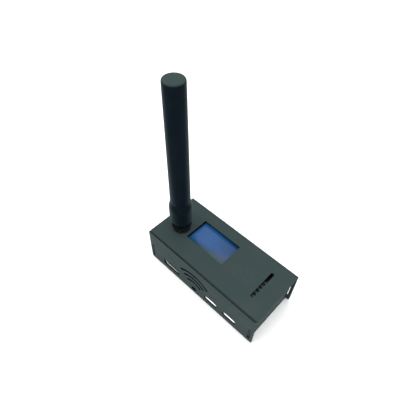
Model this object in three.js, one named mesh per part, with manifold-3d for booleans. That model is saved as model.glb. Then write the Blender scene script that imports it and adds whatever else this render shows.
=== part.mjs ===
// Pocket spectrum analyzer: a slim sheet-metal case over a computer board and a radio board, with a small
// display behind a window, side ports and a screw-on stub antenna.
// Millimetres, +Z up, X along the case, origin under the middle of the case.
import * as THREE from 'three';
import { mergeVertices } from 'three/addons/utils/BufferGeometryUtils.js';
import Module from 'manifold-3d';

const wasm = await Module();
wasm.setup();

// ---------------------------------------------------------------- driving dimensions

const CASE = { length: 73, width: 33, height: 24, sheet: 0.8, bend: 1.2, innerBend: 0.4, corner: 1.5 };
const LID = { farGap: 0.1, nearGapLeft: 0.35, nearGapRight: 0.5, corner: 0.3 };
const END_PLATE = {
  inset: 2, sideGap: 0.2, stackGap: 0.1, tabLow: 5.6, tabHigh: 14, tabShort: 0.1, flange: 2.9,
};
const TAB_SLOT = { low: 3.6, high: 14.2, inboard: 0.1, outboard: 0.45 };
const WINDOW = { x: -7.6, y: 2.55, width: 24.6, depth: 14.3 };
const LED_SLOT = { x: 26.4, y: 0.9, width: 1.8, length: 17 };
const WAVES = { x: -3, z: 4.4, dot: 1.8, radii: [6.8, 10.1, 13.5], stroke: 1.6, halfAngle: Math.PI / 4 };

const BOARD = { length: 65, width: 30, corner: 3, thickness: 1.2, base: 3.8 };
const RADIO_BOARD = { thickness: 1.6, base: 16 };
const HOLE = { x: 29, y: 11.5, radius: 1.375 };
const STANDOFF = { acrossFlats: 4.5, bore: 1.3, spacerRadius: 2.4 };
const SCREW = {
  shank: 1.2, sinkRadius: 2.1, sinkDepth: 0.8, lowerEnd: 9, upperEnd: 12.5, panRadius: 2.3, panHeight: 1.7,
};

const VIDEO = {
  x: -20.1, width: 11.2, height: 3.4, depth: 7.5, holeWidth: 12, holeHeight: 4.15, holeZ: 6.775,
};
const SMALL = { width: 7.5, height: 2.5, depth: 5, holeWidth: 8.4, holeHeight: 3.2, holeZ: 6.25 };
const SMALL_X = { data: 8.9, power: 21.5 };
const SHELL = { wall: 0.3, front: -15.9, lip: 0.3, drop: 0.25, lipLength: 0.7 };

const CARD = { length: 15, width: 11, thickness: 0.7, y: 1.9, outer: -34.8, play: 0.15 };
const CARD_SOCKET = { outer: -32.3, inner: -19.3, width: 13.2, height: 1.6, roof: 0.35 };
const CARD_WINDOW = { width: 14.2, low: 4.4, high: 7.6 };
const CAMERA = { inner: 27.2, outer: 31.7, width: 16.8, height: 1.3, latchOuter: 32.7 };

const HEADER = { pins: 20, rows: 2, pitch: 2.54, y: 11.5, base: 2.54, pin: 0.64, pinTop: 13.1, hole: 0.94 };
const DISPLAY = { x: -7.75, width: 27.3, near: -12.3, far: 13.7, base: 19.6, thickness: 1 };
const GLASS = { width: 26.7, near: -7.4, far: 11.9, thickness: 1.5, gap: 0.1 };
const DISPLAY_PINS = { count: 4, pitch: 2.54, y: 12.7, size: 0.5, hole: 0.4, top: 21.3 };
const LED = { count: 5, x: 25.25, y: -4, pitch: 2.4, length: 3.2, width: 1.5, height: 1.1 };

const AXIS = { x: -26.4, y: -2 };
const JACK = { square: 6.35, foot: 1.6, radius: 3.1, top: 34.2, bore: 2.2, contact: 0.6, holeRadius: 3.4 };
const JACK_NUT = { washerRadius: 4.9, washer: 0.6, acrossFlats: 8, height: 2, bore: 3.2, gap: 0.05 };
const COUPLING = { base: 27, radius: 5.3, shoulder: 31.8, neck: 4.4, top: 37.5, bore: 3.2 };
const SLEEVE = { base: 32, radius: 5.95, waist: 42, top: 45.4, topRadius: 5.2, bore: 4.5, edge: 0.3 };
const WHIP = {
  base: 37.8, neck: 4.4, step: 45.6, radius: 5.1, tipRadius: 4.7, top: 111.2, round: 1, bore: 2.6,
};
const COIL = { radius: 2, wire: 0.35, turns: 10, base: 40, top: 100, core: 1.3 };

// ---------------------------------------------------------------- derived places

const half = { x: CASE.length / 2, y: CASE.width / 2 };
const innerY = half.y - CASE.sheet;
const lidBase = CASE.height - CASE.sheet;
const endOuter = half.x - END_PLATE.inset;
const endInner = endOuter - CASE.sheet;
const boardTop = BOARD.base + BOARD.thickness;
const radioTop = RADIO_BOARD.base + RADIO_BOARD.thickness;
const glassBase = DISPLAY.base + DISPLAY.thickness + GLASS.gap;
const corners = [[-1, -1], [1, -1], [1, 1], [-1, 1]].map(([sx, sy]) => [sx * HOLE.x, sy * HOLE.y]);

// ---------------------------------------------------------------- shape helpers

const SEGMENTS = { fine: 32, small: 16 };
const touch = 0.05;

/** Box between two opposite corners. */
function box(x0, x1, y0, y1, z0, z1) {
  const geometry = new THREE.BoxGeometry(x1 - x0, y1 - y0, z1 - z0);
  return geometry.translate((x0 + x1) / 2, (y0 + y1) / 2, (z0 + z1) / 2);
}

/** Upright cylinder from z0 to z1. */
function rod(radius, z0, z1, x = 0, y = 0, segments = SEGMENTS.fine) {
  const geometry = new THREE.CylinderGeometry(radius, radius, z1 - z0, segments);
  return geometry.rotateX(Math.PI / 2).translate(x, y, (z0 + z1) / 2);
}

/** Solid turned about an upright axis; its [radius, height] points close on themselves or on the axis. */
function turned(points, x = 0, y = 0, segments = SEGMENTS.fine) {
  const profile = points.map(([r, z]) => new THREE.Vector2(r, z));
  return new THREE.LatheGeometry(profile, segments).rotateX(Math.PI / 2).translate(x, y, 0);
}

/** A profile that joins its last point to its first. */
function ring(points) {
  return [...points, points[0]];
}

/** Shape (x, y) raised from z0 to z1. */
function upright(shape, z0, z1, curveSegments = 8) {
  const options = { depth: z1 - z0, bevelEnabled: false, curveSegments };
  return new THREE.ExtrudeGeometry(shape, options).translate(0, 0, z0);
}

/** Shape (y, z) drawn out along X from x0 to x1. */
function alongX(shape, x0, x1) {
  const options = { depth: x1 - x0, bevelEnabled: false, curveSegments: 6 };
  const geometry = new THREE.ExtrudeGeometry(shape, options);
  const turn = new THREE.Matrix4().makeBasis(
    new THREE.Vector3(0, 1, 0), new THREE.Vector3(0, 0, 1), new THREE.Vector3(1, 0, 0));
  return geometry.applyMatrix4(turn).translate(x0, 0, 0);
}

/** Shape (x, z) drawn out along Y from y0 to y1. */
function alongY(shape, y0, y1, curveSegments = 4) {
  const geometry = new THREE.ExtrudeGeometry(shape, { depth: y1 - y0, bevelEnabled: false, curveSegments });
  const turn = new THREE.Matrix4().makeBasis(
    new THREE.Vector3(1, 0, 0), new THREE.Vector3(0, 0, 1), new THREE.Vector3(0, -1, 0));
  return geometry.applyMatrix4(turn).translate(0, y1, 0);
}

/** Rectangle with round corners, about (cx, cy). */
function roundRect(width, height, radius, cx = 0, cy = 0) {
  const [w, h] = [width / 2, height / 2];
  const shape = new THREE.Shape();
  shape.moveTo(cx - w + radius, cy - h);
  shape.lineTo(cx + w - radius, cy - h);
  shape.absarc(cx + w - radius, cy - h + radius, radius, -Math.PI / 2, 0, false);
  shape.lineTo(cx + w, cy + h - radius);
  shape.absarc(cx + w - radius, cy + h - radius, radius, 0, Math.PI / 2, false);
  shape.lineTo(cx - w + radius, cy + h);
  shape.absarc(cx - w + radius, cy + h - radius, radius, Math.PI / 2, Math.PI, false);
  shape.lineTo(cx - w, cy - h + radius);
  shape.absarc(cx - w + radius, cy - h + radius, radius, Math.PI, Math.PI * 1.5, false);
  return shape;
}

/** Closed polygon through [u, v] points. */
function polygon(points) {
  return new THREE.Shape(points.map(([u, v]) => new THREE.Vector2(u, v)));
}

/** Shape from corner points, with each corner rounded by a quadratic curve. */
function roundedPolygon(points, radius) {
  const corner = points.map(([u, v]) => new THREE.Vector2(u, v));
  const towards = (from, to) => from.clone().add(to.clone().sub(from).setLength(radius));
  const shape = new THREE.Shape();
  corner.forEach((point, i) => {
    const start = towards(point, corner.at(i - 1));
    const end = towards(point, corner[(i + 1) % corner.length]);
    if (i === 0) shape.moveTo(start.x, start.y);
    else shape.lineTo(start.x, start.y);
    shape.quadraticCurveTo(point.x, point.y, end.x, end.y);
  });
  shape.closePath();
  return shape;
}

/** Regular hexagon by its distance across flats, with a round hole. */
function hexagon(acrossFlats, bore, cx, cy) {
  const radius = acrossFlats / Math.sqrt(3);
  const points = Array.from({ length: 6 }, (_, i) => i * Math.PI / 3)
    .map((angle) => [cx + radius * Math.cos(angle), cy + radius * Math.sin(angle)]);
  const shape = polygon(points);
  shape.holes.push(circle(bore, cx, cy));
  return shape;
}

/** Circular path. */
function circle(radius, cx = 0, cy = 0) {
  return new THREE.Path().absarc(cx, cy, radius, 0, Math.PI * 2, false);
}

/** Manifold solid of a closed geometry. */
function solid(geometry) {
  const bare = geometry.clone();
  bare.deleteAttribute('normal');
  bare.deleteAttribute('uv');
  const merged = mergeVertices(bare, 1e-5);
  const vertProperties = new Float32Array(merged.attributes.position.array);
  const triVerts = new Uint32Array(merged.index.array);
  return new wasm.Manifold(new wasm.Mesh({ numProp: 3, vertProperties, triVerts }));
}

/** Geometry of the base with the added solids joined on and the cuts taken away. */
function carve(base, added, cuts) {
  let result = solid(base);
  for (const geometry of added) result = result.add(solid(geometry));
  for (const geometry of cuts) result = result.subtract(solid(geometry));
  const mesh = result.getMesh();
  const geometry = new THREE.BufferGeometry();
  geometry.setAttribute('position', new THREE.BufferAttribute(new Float32Array(mesh.vertProperties), 3));
  geometry.setIndex(new THREE.BufferAttribute(new Uint32Array(mesh.triVerts), 1));
  geometry.computeVertexNormals();
  return geometry;
}

// ---------------------------------------------------------------- materials

function finish(color, roughness, metalness = 0) {
  return new THREE.MeshStandardMaterial({ color, roughness, metalness });
}

const MATERIAL = {
  case: finish(0x2c3231, 0.55, 0.3),
  board: finish(0x14532d, 0.5),
  radioBoard: finish(0x15181a, 0.45),
  chip: finish(0x1b1c1e, 0.5),
  can: finish(0xb9bcbd, 0.35, 1),
  shell: finish(0xd4d6d6, 0.25, 1),
  plastic: finish(0x17181a, 0.55),
  ivory: finish(0xe6e1d2, 0.5),
  gold: finish(0xd2a64a, 0.3, 1),
  brass: finish(0xb08d4c, 0.35, 1),
  steel: finish(0x8f9294, 0.35, 1),
  blackNut: finish(0x202224, 0.4, 0.8),
  glass: finish(0x33478f, 0.12),
  rubber: finish(0x1c2327, 0.6),
  led: finish(0xe8ebe4, 0.4),
};

// ---------------------------------------------------------------- case

/** Cross-section of the folded tray: a bottom and two side walls, bent from one sheet. */
function traySection() {
  const { height, sheet, bend, innerBend } = CASE;
  const shape = new THREE.Shape();
  shape.moveTo(-half.y, height);
  shape.lineTo(-half.y, bend);
  shape.absarc(-half.y + bend, bend, bend, Math.PI, Math.PI * 1.5, false);
  shape.lineTo(half.y - bend, 0);
  shape.absarc(half.y - bend, bend, bend, -Math.PI / 2, 0, false);
  shape.lineTo(half.y, height);
  shape.lineTo(innerY, height);
  shape.lineTo(innerY, sheet + innerBend);
  shape.absarc(innerY - innerBend, sheet + innerBend, innerBend, 0, -Math.PI / 2, true);
  shape.lineTo(-innerY + innerBend, sheet);
  shape.absarc(-innerY + innerBend, sheet + innerBend, innerBend, -Math.PI / 2, -Math.PI, true);
  shape.lineTo(-innerY, height);
  return shape;
}

/** Corner left over when a side wall's lower corner is rounded, at the +X or -X end. */
function cornerOffcut(side) {
  const { corner } = CASE;
  const [end, past] = [side * half.x, side * (half.x + 1)];
  const centre = end - side * corner;
  const shape = new THREE.Shape();
  shape.moveTo(end, corner);
  if (side > 0) shape.absarc(centre, corner, corner, 0, -Math.PI / 2, true);
  else shape.absarc(centre, corner, corner, Math.PI, Math.PI * 1.5, false);
  shape.lineTo(centre, -1);
  shape.lineTo(past, -1);
  shape.lineTo(past, corner);
  return alongY(shape, -half.y - 1, half.y + 1);
}

/** One arc of the radio-wave vent, as a curved slot. */
function waveSlot(radius) {
  const { x, z, stroke, halfAngle } = WAVES;
  const [from, to] = [Math.PI / 2 - halfAngle, Math.PI / 2 + halfAngle];
  const shape = new THREE.Shape();
  shape.absarc(x, z, radius + stroke / 2, from, to, false);
  shape.absarc(x, z, radius - stroke / 2, to, from, true);
  return shape;
}

/** Cuts of the radio-wave vent in the near wall. */
function waveCuts() {
  const dot = new THREE.Shape().absarc(WAVES.x, WAVES.z, WAVES.dot, 0, Math.PI * 2, false);
  return [dot, ...WAVES.radii.map(waveSlot)].map((shape) => alongY(shape, -half.y - 1, -innerY + 1, 12));
}

/** Cut for one port in the near wall. */
function portCut(x, z, width, height) {
  return alongY(roundRect(width, height, 0.5, x, z), -half.y - 1, -innerY + 1);
}

/** Slots near the ends of both side walls, one box through both walls at each end. */
function tabSlotCuts() {
  return [-1, 1].map((side) => {
    const faces = [side * (endInner - TAB_SLOT.inboard), side * (endOuter + TAB_SLOT.outboard)];
    return box(Math.min(...faces), Math.max(...faces), -half.y - 1, half.y + 1, TAB_SLOT.low, TAB_SLOT.high);
  });
}

/** Countersunk screw hole through the bottom. */
function sinkCut([x, y]) {
  const { sinkRadius, sinkDepth } = SCREW;
  const wide = sinkRadius + 0.1;
  const cone = [
    [0, -1], [wide + 1, -1], [wide, 0], [HOLE.radius, sinkDepth - touch], [HOLE.radius, 2], [0, 2],
  ];
  return turned(cone, x, y, SEGMENTS.small);
}

/** The bottom is cut back to the end plates, so only the side walls reach the ends. */
function endReliefCuts() {
  return [-1, 1].map((side) => {
    const faces = [side * endOuter, side * (half.x + 1)];
    return box(Math.min(...faces), Math.max(...faces), -innerY, innerY, -1, CASE.sheet + CASE.innerBend);
  });
}

function baseTray() {
  const ports = [
    portCut(VIDEO.x, VIDEO.holeZ, VIDEO.holeWidth, VIDEO.holeHeight),
    ...Object.values(SMALL_X).map((x) => portCut(x, SMALL.holeZ, SMALL.holeWidth, SMALL.holeHeight)),
  ];
  const ends = [...endReliefCuts(), ...[-1, 1].map(cornerOffcut), ...tabSlotCuts()];
  const cuts = [...ends, ...ports, ...waveCuts(), ...corners.map(sinkCut)];
  return carve(alongX(traySection(), -half.x, half.x), [], cuts);
}

/** Top plate between the walls, with the display window, the indicator slot and the antenna hole. */
function topPlate() {
  const shape = roundedPolygon([
    [-half.x, -innerY + LID.nearGapLeft], [half.x, -innerY + LID.nearGapRight],
    [half.x, innerY - LID.farGap], [-half.x, innerY - LID.farGap],
  ], LID.corner);
  shape.holes.push(roundRect(WINDOW.width, WINDOW.depth, 0.3, WINDOW.x, WINDOW.y));
  shape.holes.push(roundRect(LED_SLOT.width, LED_SLOT.length, 0.3, LED_SLOT.x, LED_SLOT.y));
  shape.holes.push(circle(JACK.holeRadius, AXIS.x, AXIS.y));
  return upright(shape, lidBase, CASE.height);
}

/** End plate with a tab into each side wall and a folded flange under the top plate. */
function endPlate(side) {
  const { sideGap, stackGap, tabLow, tabHigh, tabShort, flange } = END_PLATE;
  const [bodyY, tabY] = [innerY - sideGap, half.y - tabShort];
  const [low, high] = [CASE.sheet + stackGap, lidBase - stackGap];
  const outline = polygon([
    [-bodyY, low], [bodyY, low], [bodyY, tabLow], [tabY, tabLow], [tabY, tabHigh], [bodyY, tabHigh],
    [bodyY, high], [-bodyY, high], [-bodyY, tabHigh], [-tabY, tabHigh], [-tabY, tabLow], [-bodyY, tabLow],
  ]);
  const faces = [side * endInner, side * endOuter].sort((a, b) => a - b);
  const fold = [side * (endInner - flange), side * (endInner + CASE.sheet / 2)].sort((a, b) => a - b);
  const flangePlate = box(...fold, -bodyY, bodyY, high - CASE.sheet, high);
  const cardCut = box(-half.x, -endInner + 1, CARD.y - CARD_WINDOW.width / 2, CARD.y + CARD_WINDOW.width / 2,
    CARD_WINDOW.low, CARD_WINDOW.high);
  return carve(alongX(outline, ...faces), [flangePlate], side < 0 ? [cardCut] : []);
}

// ---------------------------------------------------------------- stack hardware

/** Plain round spacer between the bottom and the computer board. */
function lowerSpacer([x, y]) {
  const { bore, spacerRadius } = STANDOFF;
  const [low, high] = [CASE.sheet + touch, BOARD.base - touch];
  const wall = [[bore, low], [spacerRadius, low], [spacerRadius, high], [bore, high]];
  return turned(ring(wall), x, y, SEGMENTS.small);
}

/** Hexagon standoff between the two boards. */
function standoff([x, y]) {
  const section = hexagon(STANDOFF.acrossFlats, STANDOFF.bore, x, y);
  return upright(section, boardTop + touch, RADIO_BOARD.base - touch);
}

/** Countersunk screw from below, with a hexagon socket in its head. */
function bottomScrew([x, y]) {
  const { shank, sinkRadius, sinkDepth, lowerEnd } = SCREW;
  const body = turned([
    [0, touch], [sinkRadius, touch], [shank, sinkDepth + touch], [shank, lowerEnd - 0.3],
    [shank - 0.3, lowerEnd], [0, lowerEnd],
  ], x, y, SEGMENTS.small);
  return carve(body, [], [rod(0.9, -1, 0.7, x, y, 6)]);
}

/** Pan-head screw from above, with a hexagon socket in its head. */
function boardScrew([x, y]) {
  const { shank, panRadius, panHeight, upperEnd } = SCREW;
  const low = radioTop + touch;
  const body = turned([
    [0, upperEnd], [shank, upperEnd], [shank, low], [panRadius, low], [panRadius, low + 1],
    [panRadius - 0.5, low + panHeight], [0, low + panHeight],
  ], x, y, SEGMENTS.small);
  return carve(body, [], [rod(0.9, low + 0.7, low + 3, x, y, 6)]);
}

// ---------------------------------------------------------------- boards and what is on them

/** Board outline with round corners and a screw hole in each corner. */
function boardOutline() {
  const shape = roundRect(BOARD.length, BOARD.width, BOARD.corner);
  for (const [x, y] of corners) shape.holes.push(circle(HOLE.radius, x, y));
  return shape;
}

/** Metal socket shell, open at the near side, with lips above and below its mouth. */
function portShell(x, width, height, depth) {
  const { wall, front, lip, drop, lipLength } = SHELL;
  const [low, high] = [boardTop + touch, boardTop + height];
  const body = alongY(roundRect(width, high - low, 0.6, x, (low + high) / 2), front, front + depth);
  const reach = width / 2 - 1;
  const lips = [[high - 0.1, high + lip], [low - drop, low + 0.1]]
    .map((z) => box(x - reach, x + reach, front, front + lipLength, ...z));
  const inside = roundRect(width - 2 * wall, high - low - 2 * wall, 0.4, x, (low + high) / 2);
  return carve(body, lips, [alongY(inside, front - 1, front + depth - wall)]);
}

/** Contact tongue inside a socket shell. */
function portTongue(x, width, height, depth) {
  const middle = boardTop + height / 2;
  const [from, to] = [SHELL.front + 0.8, SHELL.front + depth - SHELL.wall - touch];
  return box(x - width * 0.33, x + width * 0.33, from, to, middle - 0.3, middle + 0.3);
}

/** Memory-card socket, open towards the left end. */
function cardSocket() {
  const { outer, inner, width, height, roof } = CARD_SOCKET;
  const [low, high] = [boardTop + touch, boardTop + height];
  const body = box(outer, inner, CARD.y - width / 2, CARD.y + width / 2, low, high);
  const play = CARD.width / 2 + CARD.play;
  const cavity = box(outer - 1, inner - roof, CARD.y - play, CARD.y + play, low + roof, high - roof);
  return carve(body, [], [cavity]);
}

/** Memory card with its notched outline. */
function memoryCard() {
  const [low, high] = [CARD.y - CARD.width / 2, CARD.y + CARD.width / 2];
  const inner = CARD.outer + CARD.length;
  const outline = polygon([
    [CARD.outer, low], [inner - 0.5, low], [inner, low + 0.5], [inner, high - 1.3], [inner - 6, high - 1.3],
    [inner - 7.3, high], [CARD.outer, high],
  ]);
  const base = boardTop + CARD_SOCKET.roof + 0.15;
  return upright(outline, base, base + CARD.thickness);
}

function cameraConnector() {
  const { inner, outer, width, height } = CAMERA;
  const body = box(inner, outer, -width / 2, width / 2, boardTop + touch, boardTop + height);
  const mouth = box(outer - 2, outer + 1, -width / 2 + 0.8, width / 2 - 0.8, boardTop + 0.5, boardTop + 0.9);
  return carve(body, [], [mouth]);
}

function cameraLatch() {
  const { outer, latchOuter, width, height } = CAMERA;
  const reach = width / 2 - 0.5;
  return box(outer + touch, latchOuter, -reach, reach, boardTop + 0.1, boardTop + height - 0.2);
}

/** Centres of the header's pins. */
function headerPlaces() {
  const { pins, rows, pitch, y } = HEADER;
  const places = [];
  for (let i = 0; i < pins; i += 1) {
    for (let j = 0; j < rows; j += 1) {
      places.push([(i - (pins - 1) / 2) * pitch, y + (j - (rows - 1) / 2) * pitch]);
    }
  }
  return places;
}

/** Square posts of one size on a list of centres. */
function posts(places, size, z0, z1) {
  return places.map(([x, y]) => box(x - size / 2, x + size / 2, y - size / 2, y + size / 2, z0, z1));
}

/** Footprint of the header: [x0, x1, y0, y1]. */
function headerFootprint() {
  const { pins, rows, pitch, y } = HEADER;
  return [-pins * pitch / 2, pins * pitch / 2, y - rows * pitch / 2, y + rows * pitch / 2];
}

function pinHeader() {
  const top = boardTop + HEADER.base;
  const body = box(...headerFootprint(), boardTop + touch, top);
  return carve(body, posts(headerPlaces(), HEADER.pin, top - 0.5, HEADER.pinTop), []);
}

function headerSocket() {
  const base = boardTop + HEADER.base + touch;
  const body = box(...headerFootprint(), base, RADIO_BOARD.base - touch);
  return carve(body, [], posts(headerPlaces(), HEADER.hole, base - 1, HEADER.pinTop + 0.5));
}

/** Centres of the display's pins. */
function displayPinPlaces() {
  const { count, pitch, y } = DISPLAY_PINS;
  return Array.from({ length: count }, (_, i) => [DISPLAY.x + (i - (count - 1) / 2) * pitch, y]);
}

function displayBoard() {
  const { x, width, near, far, base, thickness } = DISPLAY;
  const shape = roundRect(width, far - near, 1, x, (near + far) / 2);
  for (const [px, py] of displayPinPlaces()) shape.holes.push(circle(DISPLAY_PINS.hole, px, py));
  return upright(shape, base, base + thickness, 4);
}

function displayPins() {
  const { count, pitch, y, size, top } = DISPLAY_PINS;
  const high = DISPLAY.base - touch;
  const length = count * pitch / 2;
  const body = box(DISPLAY.x - length, DISPLAY.x + length, y - 1.2, y + 1.2, radioTop + touch, high);
  return carve(body, posts(displayPinPlaces(), size, high - 0.5, top), []);
}

function displayGlass() {
  const { width, near, far, thickness } = GLASS;
  return box(DISPLAY.x - width / 2, DISPLAY.x + width / 2, near, far, glassBase, glassBase + thickness);
}

/** Flat-topped part on a board, as a box about (x, y). */
function boardPart(x, y, width, depth, base, height) {
  return box(x - width / 2, x + width / 2, y - depth / 2, y + depth / 2, base + touch, base + height);
}

// ---------------------------------------------------------------- antenna and its jack

/** Jack: a square foot on the radio board and a round barrel up through the top plate. */
function jackBody() {
  const foot = boardPart(AXIS.x, AXIS.y, JACK.square, JACK.square, radioTop, JACK.foot);
  const barrel = rod(JACK.radius, radioTop + 1, JACK.top, AXIS.x, AXIS.y);
  return carve(foot, [barrel], [rod(JACK.bore, radioTop + 2.4, JACK.top + 1, AXIS.x, AXIS.y)]);
}

/** Insulator inside the jack, with the contact hole from above. */
function jackInsulator() {
  const [low, high, hole] = [radioTop + 2.5, JACK.top - 0.8, radioTop + 6];
  const radius = JACK.bore - touch;
  const wall = [
    [0, low], [radius, low], [radius, high], [JACK.contact, high], [JACK.contact, hole], [0, hole],
  ];
  return turned(wall, AXIS.x, AXIS.y, SEGMENTS.small);
}

function jackWasher() {
  const { washerRadius, washer, bore, gap } = JACK_NUT;
  const [low, high] = [CASE.height + gap, CASE.height + washer];
  return turned(ring([[bore, low], [washerRadius, low], [washerRadius, high], [bore, high]]), AXIS.x, AXIS.y);
}

function jackNut() {
  const { washer, acrossFlats, height, bore, gap } = JACK_NUT;
  const low = CASE.height + washer + gap;
  return upright(hexagon(acrossFlats, bore, AXIS.x, AXIS.y), low, low + height);
}

/** Coupling nut that runs on the jack's barrel: a round grip below and a neck inside the sleeve. */
function couplingNut() {
  const { base, radius, shoulder, neck, top, bore } = COUPLING;
  return turned(ring([
    [bore, base], [radius - 0.3, base], [radius, base + 0.4], [radius, shoulder - 0.3],
    [radius - 0.3, shoulder], [neck, shoulder], [neck, top], [bore, top],
  ]), AXIS.x, AXIS.y);
}

/** Moulded sleeve round the nut's neck and the foot of the whip, with a tapered shoulder. */
function baseSleeve() {
  const { base, radius, waist, top, topRadius, bore, edge } = SLEEVE;
  return turned(ring([
    [bore, base], [radius - edge, base], [radius, base + edge], [radius, waist],
    [radius - 0.15, waist + 1.2], [topRadius + 0.15, top - 0.9], [topRadius, top], [bore, top],
  ]), AXIS.x, AXIS.y);
}

/** Rubber whip: a slightly tapered tube, closed and rounded at the top, open below for the coil. */
function whipCover() {
  const { base, neck, step, radius, tipRadius, top, round, bore } = WHIP;
  const tip = Array.from({ length: 5 }, (_, i) => i * Math.PI / 8)
    .map((angle) => [tipRadius - round + round * Math.cos(angle), top - round + round * Math.sin(angle)]);
  return turned(ring([
    [bore, base], [neck, base], [neck, step], [radius, step], ...tip, [0, top],
    [0, COIL.top + 2], [bore, COIL.top + 2],
  ]), AXIS.x, AXIS.y);
}

/** Helix that the antenna wire follows. */
class Helix extends THREE.Curve {
  constructor(radius, turns, z0, z1) {
    super();
    Object.assign(this, { radius, turns, z0, z1 });
  }

  getPoint(t, target = new THREE.Vector3()) {
    const angle = t * this.turns * 2 * Math.PI;
    const height = this.z0 + (this.z1 - this.z0) * t;
    return target.set(this.radius * Math.cos(angle), this.radius * Math.sin(angle), height);
  }
}

function antennaCoil() {
  const { radius, wire, turns, base, top } = COIL;
  const section = polygon([[wire, 0], [0, wire], [-wire, 0], [0, -wire]]);
  const extrudePath = new Helix(radius, turns, base, top);
  const coil = new THREE.ExtrudeGeometry(section, { steps: turns * 8, extrudePath, bevelEnabled: false });
  return coil.translate(AXIS.x, AXIS.y, 0);
}

/** Straight core that carries the coil. */
function coilCore() {
  return rod(COIL.core, COIL.base - 0.5, COIL.top + 1, AXIS.x, AXIS.y, SEGMENTS.small);
}

/** Insulator that holds the centre pin in the top of the coupling nut. */
function plugInsulator() {
  const [low, high] = [JACK.top + 0.4, COUPLING.top];
  const radius = COUPLING.bore - touch;
  const wall = [[JACK.contact, low], [radius, low], [radius, high], [JACK.contact, high]];
  return turned(ring(wall), AXIS.x, AXIS.y);
}

function centrePin() {
  const radius = JACK.contact - touch;
  const [tip, top] = [JACK.top - 4, COIL.base - 0.8];
  return turned([[0, tip], [radius - 0.25, tip + 0.2], [radius, tip + 0.8], [radius, top], [0, top]],
    AXIS.x, AXIS.y, SEGMENTS.small);
}

// ---------------------------------------------------------------- assembly

const group = new THREE.Group();

/** Adds one named sub-part. */
function add(name, geometry, material) {
  const mesh = new THREE.Mesh(geometry, material);
  mesh.name = name;
  group.add(mesh);
}

/** Adds one copy of a sub-part at each place, numbered from 1. */
function addEach(name, places, make, material) {
  places.forEach((place, i) => add(`${name}_${i + 1}`, make(place), material));
}

function addCase() {
  add('base_tray', baseTray(), MATERIAL.case);
  add('top_plate', topPlate(), MATERIAL.case);
  add('left_end_plate', endPlate(-1), MATERIAL.case);
  add('right_end_plate', endPlate(1), MATERIAL.case);
  addEach('lower_spacer', corners, lowerSpacer, MATERIAL.ivory);
  addEach('standoff', corners, standoff, MATERIAL.brass);
  addEach('bottom_screw', corners, bottomScrew, MATERIAL.blackNut);
  addEach('board_screw', corners, boardScrew, MATERIAL.steel);
}

function addComputerBoard() {
  add('main_board', upright(boardOutline(), BOARD.base, boardTop), MATERIAL.board);
  add('processor_chip', boardPart(-6.7, -1.7, 12, 12, boardTop, 1), MATERIAL.chip);
  add('wireless_can', boardPart(10, -0.5, 12, 9, boardTop, 1.6), MATERIAL.can);
  add('video_shell', portShell(VIDEO.x, VIDEO.width, VIDEO.height, VIDEO.depth), MATERIAL.shell);
  add('video_tongue', portTongue(VIDEO.x, VIDEO.width, VIDEO.height, VIDEO.depth), MATERIAL.plastic);
  for (const [use, x] of Object.entries(SMALL_X)) {
    add(`${use}_shell`, portShell(x, SMALL.width, SMALL.height, SMALL.depth), MATERIAL.shell);
    add(`${use}_tongue`, portTongue(x, SMALL.width, SMALL.height, SMALL.depth), MATERIAL.plastic);
  }
  add('card_socket', cardSocket(), MATERIAL.can);
  add('memory_card', memoryCard(), MATERIAL.plastic);
  add('camera_connector', cameraConnector(), MATERIAL.ivory);
  add('camera_latch', cameraLatch(), MATERIAL.plastic);
  add('pin_header', pinHeader(), MATERIAL.plastic);
}

function addRadioBoard() {
  add('radio_board', upright(boardOutline(), RADIO_BOARD.base, radioTop), MATERIAL.radioBoard);
  add('header_socket', headerSocket(), MATERIAL.plastic);
  add('transceiver_can', boardPart(14, -8, 12, 9, radioTop, 2.2), MATERIAL.can);
  add('microcontroller', boardPart(12.5, 4.5, 7, 7, radioTop, 1.4), MATERIAL.chip);
  add('oscillator', boardPart(20, 4, 3.2, 5, radioTop, 1.2), MATERIAL.can);
  const places = Array.from({ length: LED.count }, (_, i) => LED.y + i * LED.pitch);
  const light = (y) => boardPart(LED.x, y, LED.length, LED.width, radioTop, LED.height);
  addEach('status_led', places, light, MATERIAL.led);
  add('display_board', displayBoard(), MATERIAL.radioBoard);
  add('display_pins', displayPins(), MATERIAL.plastic);
  add('display_glass', displayGlass(), MATERIAL.glass);
}

function addAntenna() {
  add('antenna_jack', jackBody(), MATERIAL.gold);
  add('jack_insulator', jackInsulator(), MATERIAL.ivory);
  add('jack_washer', jackWasher(), MATERIAL.blackNut);
  add('jack_nut', jackNut(), MATERIAL.blackNut);
  add('coupling_nut', couplingNut(), MATERIAL.blackNut);
  add('base_sleeve', baseSleeve(), MATERIAL.rubber);
  add('whip_cover', whipCover(), MATERIAL.rubber);
  add('antenna_coil', antennaCoil(), MATERIAL.brass);
  add('coil_core', coilCore(), MATERIAL.ivory);
  add('plug_insulator', plugInsulator(), MATERIAL.ivory);
  add('centre_pin', centrePin(), MATERIAL.gold);
}

addCase();
addComputerBoard();
addRadioBoard();
addAntenna();

export default group;
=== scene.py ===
"""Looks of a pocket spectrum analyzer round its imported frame: sheet case, boards, display and antenna."""

import logging
import math
from dataclasses import dataclass, field
from enum import Enum
from typing import Callable, Iterable, Sequence

import bmesh
import bpy
import numpy as np
from mathutils import Matrix, Vector


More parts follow.
